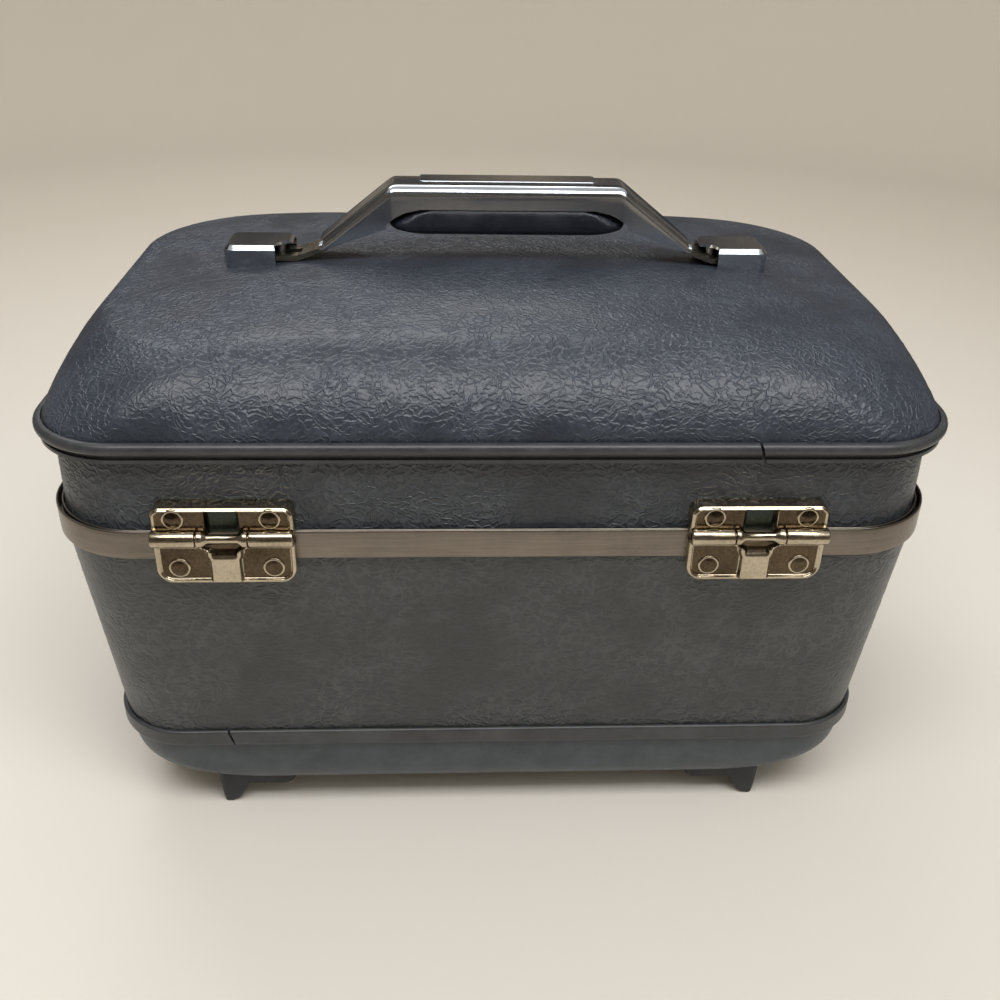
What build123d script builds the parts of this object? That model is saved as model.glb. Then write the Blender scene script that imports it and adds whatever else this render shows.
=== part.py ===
from build123d import *
import math
import os

# Hard-sided vanity case with a domed lid, a floating carrying handle and a lift-out tray.
# Millimetres, +Z up. The origin is the centre of the footprint on the table.
# The latch faces -Y, the hinges face +Y, and +X is on the right of somebody facing the latch.
# Every outline is given by its half length along X; its half depth is half_gap smaller.
half_gap = 57.5

# Body wall and the steel band round its opening
wall_top_half = 172.1
wall_foot_half = 162.3
wall_foot_z = 45.2
wall_foot_radius = 30.0
wall_thickness = 3.5
rail_half = 173.4
rail_top = 154.7
rail_height = 12.0
rail_sheet = 1.0
rail_radius = 37.0
rail_web_z = 148.8
rail_lip = 3.2
rail_clear = 1.7

# Bottom pan, which rolls under to a flat bottom
pan_half = 161.6
pan_top_z = 42.8
pan_bottom_z = 13.6
pan_sheet = 3.0
pan_roll = 20.0
pan_roundness = 4.0
pan_radius_top = 30.0
pan_radius_growth = 46.0
pan_shares = (0, 0.35, 0.55, 0.68, 0.78, 0.86, 0.92, 0.96, 0.985, 1.0)

# Extruded strips in the two joints
lower_welt_half = 164.6
lower_welt_low = 41.6
lower_welt_high = 49.2
lower_welt_round = 1.2
lower_welt_clear = 0.8
lower_welt_joint_x = 112.0
upper_welt_half = 175.0
upper_welt_low = 186.2
upper_welt_high = 190.9
upper_welt_round = 2.1
upper_welt_radius = 36.0
upper_welt_joint_x = -95.0
upper_lip_low = 183.0
upper_lip_high = 184.4
upper_lip_reach = 1.2
welt_joint_gap = 1.0
welt_joint_lean = 18.0
welt_seat_gap = 0.6

# Feet: each section of the fin is z, middle x, middle y, length, depth, corner radius
foot_sections = ((0, 118.9, 95.0, 4.8, 5.0, 1.8), (3.5, 117.2, 94.8, 9.0, 6.6, 2.2),
                 (9.0, 116.1, 94.5, 12.2, 7.8, 2.6), (20.0, 115.0, 94.2, 15.4, 8.4, 2.8))
foot_flange = (104.0, 80.0, 30.0, 36.0)
foot_flange_low = 11.0
foot_flange_high = 16.0
foot_flange_radius = 5.0
foot_screw_x = 95.0
foot_screw_y = 66.0
foot_screw_radius = 1.8
foot_screw_head_radius = 3.4
foot_screw_head_height = 1.2

# Linings: each section is z, distance in from the wall, corner radius
lining_sheet = 1.2
lining_gap = 1.3
lining_rim_drop = 5.3
lining_floor = (18.4, 20.3, 40)
lining_sides = ((21.8, 12.0, 38), (31.0, 6.6, 33), (wall_foot_z, wall_thickness + lining_gap, 27))
lid_lining_sides = ((158.4, 5.2, 29), (188.0, 6.4, 30), (203.0, 11.5, 43), (210.0, 18.5, 50))
lid_lining_top = (214.0, 27.0, 54)

# Lid wall and its rail
lid_gap = 0.3
lid_wall_foot_half = 170.4
lid_wall_top_half = 169.6
lid_wall_top_z = 187.4
lid_wall_radius = 34.0
lid_wall_thickness = 3.6
lid_rail_half = 171.7
lid_rail_high = 154.2
lid_rail_lip_high = 157.4

# Domed top
crown_half = 171.5
crown_foot_z = 189.0
crown_sheet = 3.0
crown_shoulder_x = 15.1
crown_shoulder_y = 30.7
crown_shoulder_rise = 24.5
crown_bulge = 10.4
crown_roundness_x = 1.27
crown_roundness_y = 1.73
crown_corner_low = 32.4
crown_corner_high = 57.4
crown_corner_z = 217.7
crown_levels = (upper_welt_high, 194, 197.5, 201, 204.5, 207.5, 210.5, 213, 215, 217, 219, 221,
                222.8, 224.2, 225.2, 225.6)

# Mirror in the lid
mirror_low_z = 208.6
mirror_high_z = 212.8
mirror_frame_size = (108.0, 68.0)
mirror_pocket_size = (101.0, 61.0)
mirror_window_size = (99.0, 59.0)
mirror_ledge = 0.8
mirror_glass_sheet = 2.2
mirror_card_sheet = 1.2
mirror_play = 0.3

# Hinges, on the +Y side
hinge_x = 99.8
hinge_shift = 2.3
hinge_width = 52.0
hinge_axis_y = 121.0
hinge_axis_z = rail_top
knuckle_radius = 3.25
centre_knuckle_width = 18.6
knuckle_side_gap = 0.4
hinge_pin_radius = 1.5
hinge_pin_clearance = 0.05
leaf_front_y = 120.0
leaf_back_depth = 2.0
leaf_sheet = 1.4
leaf_top_z = 166.6
leaf_bottom_z = 134.4
leaf_low_corner = 6.0
leaf_high_corner = 4.0
ear_height = 4.0
channel_width = 11.6
channel_depth = 3.6
channel_top_margin = 2.2
neck_half = 5.3
neck_bend_z = 146.0
neck_wide_z = 151.6
neck_raise = 1.2
neck_sheet = 2.6
rivet_spacing = 35.0
rivet_head_radius = 4.2
rivet_head_height = 1.1
rivet_shank_radius = 2.0
rivet_tail_radius = 3.0
rivet_tail_height = 0.6
upper_rivet_z = 162.1
lower_rivet_z = 140.8

# Carrying handle: it lies handle_shift towards -X and slides handle_travel towards +X
handle_shift = -6.0
handle_travel = 7.0
handle_depth = 23.0
handle_top_z = 256.4
handle_top_half = 48.6
arm_end_half = 79.5
arm_end_depth = 18.0
arm_end_top_z = 232.3
handle_lower_edge = ((78.0, 229.0), (51.0, 238.8), (50.6, 241.0), (47.0, 243.6), (43.0, 245.6),
                     (36.5, 247.0), (0.0, 247.0))
cover_sheet = 1.5
cover_edge_radius = 4.0
top_plate_size = (74.0, 12.0)
top_plate_height = 1.2
strap_line = ((0.0, 250.6), (46.0, 250.6), (76.8, 228.2), (89.25, 223.7), (104.0, 223.7))
strap_thickness = 2.2
strap_width = 15.0
strap_slot_width = 4.8
stud_play = 0.2
core_low_z = 242.2
core_size = (84.0, 15.0)
grip_rivet_x = 34.0
grip_rivet_low_z = 244.2
grip_rivet_radius = 1.8
grip_rivet_head = (3.4, 1.2)
# sections of the pad: z, half length, depth, corner radius
grip_sections = ((235.4, 34.0, 13.0, 6.0), (236.9, 45.5, 21.0, 8.0), (238.9, 50.2, 25.0, 9.0),
                 (240.9, 50.0, 25.0, 9.0), (243.4, 46.4, 24.6, 9.0), (245.4, 42.6, 23.6, 8.0),
                 (246.8, 36.2, 22.4, 6.0))

# Brackets that the handle slides in; both stand bracket_shift off the middle
bracket_shift = -2.5
bracket_inner = 87.5
bracket_outer = 116.4
bracket_depth = 23.0
bracket_low_z = 218.0
bracket_top_z = 231.0
bracket_wall = 2.8
bracket_end_wall = 5.2
bracket_hood = 1.2
bracket_corner = 4.5
bracket_bevel = 1.8
bracket_side_wall_start = 94.5
bite_middle = (88.5, 9.0)
bite_radius = 6.5
stud_x = 93.5
stud_radius = 2.0
stud_tail_radius = 3.2
stud_tail_height = 1.0
stud_cover = 0.5
backing_x = 101.5
backing_z = 215.5
backing_size = (28.0, 18.0)
backing_sheet = 1.6

# Latch, on the -Y side
lock_half_width = 24.0
lock_low_z = 128.0
lock_high_z = 154.0
lock_front_y = -122.4
lock_back_y = -112.0
lock_sheet = 1.4
lock_corner = 5.0
lock_rivet_x = 19.0
lock_rivet_z = 133.5
lock_rivet_radius = 1.6
lock_rivet_head = (2.6, 0.8)
lock_rivet_tail = (2.6, 0.5)
mouth_half = 2.2
mouth_low_z = 138.5
front_reach = hinge_axis_y + knuckle_radius
button_x = 18.5
button_z = 142.0
latch_travel = 6.0
bolt_gap = 0.4
bolt_sheet = 1.6
hasp_axis_y = -121.2
hasp_axis_z = 172.0
hasp_half_width = 10.0
hasp_barrel_half = 5.0
hasp_barrel_radius = 2.4
hasp_pin_radius = 1.0
hasp_low_z = 135.5
mount_half_width = 15.0
mount_low_z = 164.5
mount_high_z = 179.5
mount_front_y = -115.0
mount_rivet_x = 12.0
mount_rivet_z = 175.5
mount_rivet_radius = 1.5

# Tray and the two rests it stands on
tray_half = 158.0
tray_half_y = 100.0
tray_low_z = 108.2
tray_high_z = 142.0
tray_sheet = 2.0
tray_radius = 26.0
tray_taper = 3.0
tray_finger_radius = 11.0
tray_cells = ((-104, 48, 92, 82), (0, 48, 104, 82), (104, 48, 92, 82), (-79, -46, 142, 90),
              (79, -46, 142, 90))
tray_cell_radius = 8.0
rest_width = 8.0
rest_height = 6.0
rest_half_length = 70.0

# Length used to cut right through a piece
far = 40.0


def outline(half, radius, z, half_y=None):
    depth = half - half_gap if half_y is None else half_y
    return Pos(0, 0, z) * RectangleRounded(2 * half, 2 * depth, radius)


def ring(low, high, outer_half, inner_half, outer_radius):
    inner_radius = outer_radius - (outer_half - inner_half)
    outside = extrude(outline(outer_half, outer_radius, low), amount=high - low)
    inside = extrude(outline(inner_half, inner_radius, low), amount=high - low)
    return outside - inside


def box(low, high):
    size = [b - a for a, b in zip(low, high)]
    middle = [(a + b) / 2 for a, b in zip(low, high)]
    return Pos(*middle) * Box(*size)


def rod(start, end, radius):
    direction = Vector(*end) - Vector(*start)
    plane = Plane(origin=start, z_dir=direction)
    return extrude(plane * Circle(radius), amount=direction.length)


def rod_x(half, y, z, radius):
    return rod((-half, y, z), (half, y, z), radius)


def hole_y(x, z, radius, side):
    # a cylinder along Y through everything on one side of the case
    return rod((x, side * (hinge_axis_y - far), z), (x, side * (hinge_axis_y + far), z), radius)


def post(x, y, low, high, radius):
    return rod((x, y, low), (x, y, high), radius)


def slab(size, low, height, radius, x=0, y=0):
    return extrude(Pos(x, y, low) * RectangleRounded(size[0], size[1], radius), amount=height)


def biggest(shape):
    return max(shape.solids(), key=lambda s: s.volume)


def cut_clear(solid, others):
    for other in others:
        solid = solid - other
    return biggest(solid)


def edges_at(solid, level, axis):
    return [e for e in solid.edges() if abs(getattr(e.center(), axis) - level) < 0.01]


def on_outer_loop(edge, half, radius):
    # true for an edge that lies on the outer outline of a ring of this half length
    point = edge.position_at(0.5)
    past_x = max(abs(point.X) - (half - radius), 0)
    past_y = max(abs(point.Y) - (half - half_gap - radius), 0)
    return math.hypot(past_x, past_y) > radius - 0.7


def rounded_band(low, high, outer_half, inner_half, radius, round_radius):
    # a ring whose two outer edges are rounded
    band = ring(low, high, outer_half, inner_half, radius)
    rims = edges_at(band, low, "Z") + edges_at(band, high, "Z")
    return fillet([e for e in rims if on_outer_loop(e, outer_half, radius)], round_radius)


def welt_joint(x, z, y):
    return Pos(x, y, z) * Rot(0, welt_joint_lean, 0) * Box(welt_joint_gap, far, 16)


# Body

def wall_half_at(z):
    share = (z - wall_foot_z) / (rail_web_z - wall_foot_z)
    return wall_foot_half + share * (wall_top_half - wall_foot_half)


def wall_solid(inset):
    foot = outline(wall_foot_half - inset, wall_foot_radius - inset, wall_foot_z)
    top = outline(wall_top_half - inset, rail_radius - 1 - inset, rail_web_z)
    return loft([foot, top], ruled=True)


def body_wall():
    return wall_solid(0) - wall_solid(wall_thickness)


def pan_solid(inset):
    faces = []
    height = pan_top_z - pan_bottom_z
    for share in pan_shares:
        turned = share ** pan_roundness
        roll = pan_roll * (1 - (1 - turned) ** (1 / pan_roundness))
        radius = pan_radius_top + pan_radius_growth * turned
        z = pan_top_z - share * (height - inset)
        faces.append(outline(pan_half - roll - inset, radius - inset, z))
    return loft(faces, ruled=True)


def base_pan():
    return pan_solid(0) - pan_solid(pan_sheet)


def lower_welt():
    inner = wall_foot_half + lower_welt_clear
    radius = wall_foot_radius + lower_welt_half - wall_foot_half
    band = rounded_band(lower_welt_low, lower_welt_high, lower_welt_half, inner, radius,
                        lower_welt_round)
    rib = ring(pan_top_z, wall_foot_z, inner, wall_foot_half - wall_thickness,
               radius - (lower_welt_half - inner))
    middle = (lower_welt_low + lower_welt_high) / 2
    return band + rib - welt_joint(lower_welt_joint_x, middle, lower_welt_half - half_gap)


def body_rail():
    web_inner = wall_top_half - wall_thickness - rail_clear
    lip_outer = web_inner + rail_sheet
    outer_leg = ring(rail_top - rail_height, rail_top, rail_half, rail_half - rail_sheet, rail_radius)
    web = ring(rail_web_z, rail_web_z + rail_sheet, rail_half - rail_sheet, web_inner,
               rail_radius - rail_sheet)
    inner_leg = ring(rail_web_z - rail_lip, rail_web_z, lip_outer, web_inner,
                     rail_radius - (rail_half - lip_outer))
    return outer_leg + web + inner_leg


def rail_envelope():
    return extrude(outline(rail_half, rail_radius, rail_top - rail_height), amount=rail_height)


def lining_solid(inset):
    floor_z, floor_in, floor_radius = lining_floor
    faces = [outline(wall_foot_half - floor_in - inset, floor_radius - inset, floor_z + inset)]
    for z, distance, radius in lining_sides:
        faces.append(outline(wall_foot_half - distance - inset, radius - inset, z))
    top_z = rail_web_z - lining_rim_drop
    rim_half = wall_half_at(top_z) - wall_thickness - lining_gap - inset
    rim = outline(rim_half, rail_radius - 4 - inset, top_z)
    return loft(faces) + loft([faces[-1], rim], ruled=True)


def body_lining():
    return lining_solid(0) - lining_solid(lining_sheet)


def foot(pan):
    # a moulded fin under a mounting flange, drawn for the +X +Y corner
    fin = loft([Pos(x, y, z) * RectangleRounded(length, depth, radius)
                for z, x, y, length, depth, radius in foot_sections])
    x, y, length, depth = foot_flange
    flange = slab((length, depth), foot_flange_low, foot_flange_high - foot_flange_low,
                  foot_flange_radius, x, y)
    hole = post(foot_screw_x, foot_screw_y, 0, foot_flange_high, foot_screw_radius)
    return biggest(fin + flange - pan - hole)


def foot_screw(x, y):
    floor_z = pan_bottom_z + pan_sheet
    shank = post(x, y, foot_flange_low + 0.2, floor_z, foot_screw_radius)
    return shank + post(x, y, floor_z, floor_z + foot_screw_head_height, foot_screw_head_radius)


# Lid

def crown_height(distance, half, shoulder, roundness):
    # height of the crown at a distance from the middle, along one axis
    depth = min(max((half - distance) / shoulder, 0), 1)
    rise = (1 - (1 - depth) ** roundness) ** (1 / roundness)
    return upper_welt_high + crown_shoulder_rise * rise + crown_bulge * (1 - (distance / half) ** 2)


def crown_reach(z, half, shoulder, roundness):
    # the distance at which the crown has this height, found by halving
    near, outer = 0.0, half
    for _ in range(40):
        middle = (near + outer) / 2
        if crown_height(middle, half, shoulder, roundness) > z:
            near = middle
        else:
            outer = middle
    return near


def crown_face(level, inset):
    half_x = crown_reach(level, crown_half, crown_shoulder_x, crown_roundness_x)
    half_y = crown_reach(level, crown_half - half_gap, crown_shoulder_y, crown_roundness_y)
    share = min((level - upper_welt_high) / (crown_corner_z - upper_welt_high), 1)
    radius = min(crown_corner_low + share * (crown_corner_high - crown_corner_low), 0.95 * half_y)
    return outline(half_x - inset, radius - inset, level - inset, half_y - inset)


def crown_solid(inset):
    faces = [outline(crown_half - inset, crown_corner_low - inset, crown_foot_z)]
    faces += [crown_face(level, inset) for level in crown_levels if level - inset > crown_foot_z]
    return loft(faces, ruled=True)


def lid_crown(outside):
    crown = outside - crown_solid(crown_sheet)
    for side in (-1, 1):
        crown -= post(side * stud_x + bracket_shift, 0, crown_foot_z, bracket_top_z, stud_radius)
    return crown


def lid_wall_solid(inset):
    foot_z = rail_web_z + rail_sheet + lid_gap + rail_sheet
    low = outline(lid_wall_foot_half - inset, lid_wall_radius + 1 - inset, foot_z)
    high = outline(lid_wall_top_half - inset, lid_wall_radius - inset, lid_wall_top_z)
    return loft([low, high], ruled=True)


def lid_wall():
    return lid_wall_solid(0) - lid_wall_solid(lid_wall_thickness)


def upper_welt():
    seat = crown_half + welt_seat_gap
    against_wall = lid_wall_top_half + 0.15
    seat_radius = upper_welt_radius - (upper_welt_half - seat)
    band = rounded_band(upper_welt_low, upper_welt_high, upper_welt_half, seat, upper_welt_radius,
                        upper_welt_round)
    web = ring(upper_lip_low, lid_wall_top_z, seat, against_wall, seat_radius)
    lip = ring(upper_lip_low, upper_lip_high, seat + upper_lip_reach, seat,
               seat_radius + upper_lip_reach)
    rib = ring(lid_wall_top_z, crown_foot_z, seat, lid_wall_top_half - lid_wall_thickness, seat_radius)
    middle = (upper_welt_low + upper_welt_high) / 2
    return band + web + lip + rib - welt_joint(upper_welt_joint_x, middle, upper_welt_half - half_gap)


def lid_rail():
    low = rail_web_z + rail_sheet + lid_gap
    channel_outer = lid_rail_half - rail_sheet
    channel_inner = lid_wall_foot_half - lid_wall_thickness - 0.2
    radius_offset = lid_wall_radius + 1 - lid_wall_foot_half
    outer_leg = ring(low, lid_rail_high, lid_rail_half, channel_outer, lid_rail_half + radius_offset)
    web = ring(low, low + rail_sheet, channel_outer, channel_inner - rail_sheet,
               channel_outer + radius_offset)
    inner_leg = ring(low + rail_sheet, lid_rail_lip_high, channel_inner, channel_inner - rail_sheet,
                     channel_inner + radius_offset)
    return outer_leg + web + inner_leg


def lid_lining_solid(inset):
    faces = [outline(lid_wall_foot_half - distance - inset, radius - inset, z)
             for z, distance, radius in lid_lining_sides]
    z, distance, radius = lid_lining_top
    faces.append(outline(lid_wall_foot_half - distance - inset, radius - inset, z - inset))
    return loft(faces, ruled=True)


def lid_lining():
    return lid_lining_solid(0) - lid_lining_solid(lining_sheet)


def doubled(size, less=0.0):
    return [2 * (value - less) for value in size]


def mirror_frame():
    height = mirror_high_z - mirror_low_z
    frame = slab(doubled(mirror_frame_size), mirror_low_z, height, 8)
    pocket = slab(doubled(mirror_pocket_size), mirror_low_z + mirror_ledge, height, 3)
    window = slab(doubled(mirror_window_size), mirror_low_z, height, 3)
    return frame - pocket - window


def mirror_sheet(low, height):
    return slab(doubled(mirror_pocket_size, mirror_play), low, height, 3)


# Hinges, drawn round X = 0

def knuckle(x_low, x_high, hole_radius):
    start = (x_low, hinge_axis_y, hinge_axis_z)
    end = (x_high, hinge_axis_y, hinge_axis_z)
    return rod(start, end, knuckle_radius) - rod(start, end, hole_radius)


def pressed_cover(low_z, high_z, back, corner_z, corner):
    # a shallow pressed tray, hollow at the back, with two rounded corners at corner_z
    half = hinge_width / 2
    cover = box((-half, back, low_z), (half, leaf_front_y, high_z))
    cover = fillet([e for e in edges_at(cover, corner_z, "Z") if abs(e.center().X) > half - 0.01],
                   corner)
    rim = [e for e in edges_at(cover, leaf_front_y, "Y") if abs(e.center().Z - corner_z) < corner]
    return fillet(rim, 0.9)


def cover_hollow(low_z, high_z, back, corner_z, corner):
    half = hinge_width / 2 - leaf_sheet
    hollow = box((-half, back - 1, low_z), (half, leaf_front_y - leaf_sheet, high_z))
    return fillet([e for e in edges_at(hollow, corner_z, "Z") if abs(e.center().X) > half - 0.01],
                  corner - leaf_sheet)


def hinge_ear(side, inner):
    half = hinge_width / 2
    low_x, high_x = sorted((side * inner, side * half))
    ear = box((low_x, leaf_front_y - leaf_sheet, hinge_axis_z),
              (high_x, leaf_front_y, hinge_axis_z + ear_height + 0.2))
    return ear + knuckle(low_x, high_x, hinge_pin_radius + hinge_pin_clearance)


def channel_walls(floor_y, low_z):
    # pressed channel in the middle of the upper leaf, set back towards the lid
    half = channel_width / 2
    room = box((-half, floor_y, low_z - 1), (half, leaf_front_y + 1, leaf_top_z - channel_top_margin))
    walls = box((-half - leaf_sheet, floor_y - leaf_sheet, low_z),
                (half + leaf_sheet, leaf_front_y - 0.3, leaf_top_z - channel_top_margin + 1))
    return room, walls - room


def upper_leaf(lid_solids):
    back = lid_wall_top_half - half_gap - leaf_back_depth
    low_z = hinge_axis_z + ear_height
    inner = centre_knuckle_width / 2 + knuckle_side_gap
    leaf = pressed_cover(low_z, leaf_top_z, back, leaf_top_z, leaf_high_corner)
    leaf -= cover_hollow(low_z - 0.1, leaf_top_z - leaf_sheet, back, leaf_top_z - leaf_sheet,
                         leaf_high_corner)
    for side in (-1, 1):
        leaf += hinge_ear(side, inner)
    room, walls = channel_walls(leaf_front_y - channel_depth, low_z)
    leaf = leaf - room + walls
    for x in (-rivet_spacing / 2, rivet_spacing / 2):
        leaf -= hole_y(x, upper_rivet_z, rivet_shank_radius, 1)
    pin_room = rod_x(hinge_width / 2 + 1, hinge_axis_y, hinge_axis_z,
                     hinge_pin_radius + hinge_pin_clearance)
    return cut_clear(leaf - pin_room, lid_solids)


def neck():
    # raised neck from the lower leaf up to the centre knuckle, wider at its top
    wide = centre_knuckle_width / 2
    side = [(neck_half, leaf_bottom_z + leaf_sheet), (neck_half, neck_bend_z), (wide, neck_wide_z),
            (wide, hinge_axis_z)]
    mirrored = [(-x, z) for x, z in reversed(side)]
    face = make_face(Polyline(*side, *mirrored, close=True))
    return extrude(Plane.XZ.offset(-leaf_front_y - neck_raise) * face, amount=neck_sheet)


def lower_leaf(body_solids):
    half = hinge_width / 2
    top = hinge_axis_z - knuckle_radius - knuckle_side_gap
    back = wall_half_at(leaf_bottom_z) - half_gap - leaf_back_depth
    leaf = pressed_cover(leaf_bottom_z, top, back, leaf_bottom_z, leaf_low_corner)
    leaf -= cover_hollow(leaf_bottom_z + leaf_sheet, top + 1, back, leaf_bottom_z + leaf_sheet,
                         leaf_low_corner)
    wide = centre_knuckle_width / 2
    leaf = leaf + neck() + knuckle(-wide, wide, hinge_pin_radius)
    # the middle of the centre knuckle is thinned where the neck runs into it
    leaf -= box((-neck_half, hinge_axis_y + 1.9, hinge_axis_z - 1),
                (neck_half, hinge_axis_y + knuckle_radius + 1, hinge_axis_z + knuckle_radius + 1))
    leaf -= rod_x(half, hinge_axis_y, hinge_axis_z, hinge_pin_radius)
    for x in (-rivet_spacing / 2, rivet_spacing / 2):
        leaf -= hole_y(x, lower_rivet_z, rivet_shank_radius, 1)
    return cut_clear(leaf, body_solids)


def rivet(x, z, wall_inner_y, face_y, head, shank_radius, tail):
    # round head on the outside of a plate, shank through the wall, flat tail inside; along Y
    out = 1 if face_y > 0 else -1
    head_radius, head_height = head
    tail_radius, tail_height = tail
    crown_y = face_y + out * head_height
    cap = rod((x, face_y, z), (x, crown_y, z), head_radius)
    cap = fillet(edges_at(cap, crown_y, "Y"), 0.7 * head_height)
    shank = rod((x, face_y, z), (x, wall_inner_y, z), shank_radius)
    foot_end = rod((x, wall_inner_y, z), (x, wall_inner_y - out * tail_height, z), tail_radius)
    return cap + shank + foot_end


def hinge_rivets(places, z, wall_inner_y):
    head = (rivet_head_radius, rivet_head_height)
    tail = (rivet_tail_radius, rivet_tail_height)
    return Compound([rivet(x, z, wall_inner_y, leaf_front_y, head, rivet_shank_radius, tail)
                     for x in places])


# Latch

def lock_case(body_solids):
    front = lock_front_y
    cover = box((-lock_half_width, front, lock_low_z), (lock_half_width, lock_back_y, lock_high_z))
    corners = [e for e in cover.edges() if abs(abs(e.center().X) - lock_half_width) < 0.01
               and abs(e.center().Z - (lock_low_z + lock_high_z) / 2) > lock_corner]
    cover = fillet(corners, lock_corner)
    cover = fillet(edges_at(cover, front, "Y"), 0.9)
    inner_half = lock_half_width - lock_sheet - 0.2
    case = cover - box((-inner_half, front + lock_sheet, lock_low_z + lock_sheet + 0.2),
                       (inner_half, lock_back_y + 1, lock_high_z - lock_sheet - 0.2))
    # mouth for the staple, open at the top and at the front
    case -= box((-mouth_half, front - 1, mouth_low_z), (mouth_half, lock_back_y + 1, lock_high_z + 1))
    # slot for the thumb button
    case -= box((button_x - latch_travel - 2, front - 1, button_z - 2.4),
                (button_x + 2, front + lock_sheet + bolt_gap, button_z + 2.4))
    for side in (-1, 1):
        case -= hole_y(side * lock_rivet_x, lock_rivet_z, lock_rivet_radius, -1)
    return cut_clear(case, body_solids)


def lock_rivet(x):
    inner_y = half_gap + wall_thickness - wall_half_at(lock_rivet_z - lock_rivet_tail[0])
    return rivet(x, lock_rivet_z, inner_y, lock_front_y, lock_rivet_head, lock_rivet_radius,
                 lock_rivet_tail)


def latch_bolt():
    back = lock_front_y + lock_sheet + bolt_gap
    bolt = box((3.0, back, button_z - 0.8), (button_x + 2, back + bolt_sheet, button_z + 1))
    heel = box((button_x - 4, back, button_z - 3), (button_x + 2, back + bolt_sheet, button_z + 3))
    return bolt + heel


def latch_button():
    back = lock_front_y + lock_sheet + bolt_gap
    neck_y = lock_front_y - 0.2
    stem = box((button_x - 1.3, neck_y, button_z - 1.8), (button_x + 1.3, back, button_z + 1.8))
    cap = box((button_x - 3, -front_reach, button_z - 2.6), (button_x + 3, neck_y, button_z + 2.6))
    return stem + fillet(edges_at(cap, -front_reach, "Y"), 0.8)


def hasp():
    y_out = -front_reach
    y_in = lock_front_y - 0.5
    side = [(6.0, hasp_low_z), (hasp_half_width, 150.0), (hasp_half_width, hasp_axis_z - 3.4)]
    mirrored = [(-x, z) for x, z in reversed(side)]
    face = make_face(Polyline(*side, *mirrored, close=True))
    plate = extrude(Plane.XZ.offset(front_reach) * face, amount=y_out - y_in)
    half = hasp_barrel_half
    barrel = rod_x(half, hasp_axis_y, hasp_axis_z, hasp_barrel_radius)
    upright = box((-half, y_out, hasp_axis_z - 3.6), (half, y_in, hasp_axis_z))
    bridge = box((-half, y_out, hasp_axis_z - 0.8), (half, hasp_axis_y, hasp_axis_z + 0.8))
    staple = box((-1.0, y_in - 0.1, 139.2), (1.0, lock_front_y + 5.4, 146.0))
    staple -= box((-2.0, lock_front_y + lock_sheet, 140.4), (2.0, lock_front_y + 4.0, 143.8))
    shape = plate + upright + bridge + barrel + staple
    return shape - rod_x(9, hasp_axis_y, hasp_axis_z, hasp_pin_radius + 0.05)


def hasp_mount(lid_solids):
    back = half_gap + leaf_back_depth - lid_wall_top_half
    plate = box((-mount_half_width, mount_front_y, mount_low_z), (mount_half_width, back, mount_high_z))
    corners = [e for e in plate.edges() if abs(abs(e.center().X) - mount_half_width) < 0.01
               and abs(e.length - (back - mount_front_y)) < 0.01]
    plate = fillet(corners, 4.0)
    for side in (-1, 1):
        low_x, high_x = sorted((side * (hasp_barrel_half + 0.4), side * hasp_half_width))
        plate += box((low_x, hasp_axis_y, hasp_axis_z - hasp_barrel_radius),
                     (high_x, mount_front_y + 1, hasp_axis_z + hasp_barrel_radius))
        plate += rod((low_x, hasp_axis_y, hasp_axis_z), (high_x, hasp_axis_y, hasp_axis_z),
                     hasp_barrel_radius)
        plate -= hole_y(side * mount_rivet_x, mount_rivet_z, mount_rivet_radius, -1)
    plate -= rod_x(mount_half_width + 1, hasp_axis_y, hasp_axis_z, hasp_pin_radius)
    return cut_clear(plate, lid_solids)


def hasp_rivet(x):
    inner_y = half_gap + lid_wall_thickness + 0.1 - lid_wall_top_half
    return rivet(x, mount_rivet_z, inner_y, mount_front_y, (2.3, 0.8), mount_rivet_radius, (2.4, 0.6))


# Handle

def handle_profile(inset):
    # side view of the pressed cover, mirrored about the middle; Z runs up
    top = handle_top_z - inset
    right = [(0, top), (handle_top_half - 0.4 * inset, top),
             (arm_end_half - 0.6 * inset, arm_end_top_z - inset)]
    if inset == 0:
        right += handle_lower_edge
    else:
        # the inside is open below and at the ends of the arms
        right += [(arm_end_half + 8, arm_end_top_z - inset - 6), (arm_end_half + 8, 215), (0, 215)]
    left = [(-x, z) for x, z in reversed(right[1:-1])]
    return make_face(Polyline(*right, *left, close=True))


def handle_block(inset):
    depth = handle_depth / 2 - inset
    end_depth = arm_end_depth / 2 - inset
    end = arm_end_half + 12
    side = extrude(Plane.XZ * handle_profile(inset), amount=depth, both=True)
    plan = Polyline((-end, end_depth), (-handle_top_half, depth), (handle_top_half, depth),
                    (end, end_depth), (end, -end_depth), (handle_top_half, -depth),
                    (-handle_top_half, -depth), (-end, -end_depth), close=True)
    return side & extrude(Pos(0, 0, 210) * make_face(plan), amount=60)


def handle_crest(edge):
    # true for the long edges along the top and down the arms
    middle = edge.center()
    on_top = abs(middle.Z - handle_top_z) < 0.1
    on_arm = middle.Z > 242 and abs(middle.X) > 55
    return edge.length > 20 and abs(middle.Y) > 6 and (on_top or on_arm)


def handle_cover():
    block = handle_block(0)
    block = fillet([e for e in block.edges() if handle_crest(e)], cover_edge_radius)
    return biggest(block - handle_block(cover_sheet))


def handle_top_plate():
    plate = slab(top_plate_size, handle_top_z, top_plate_height, 2)
    return fillet(plate.edges().group_by(Axis.Z)[-1], 0.4)


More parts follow.
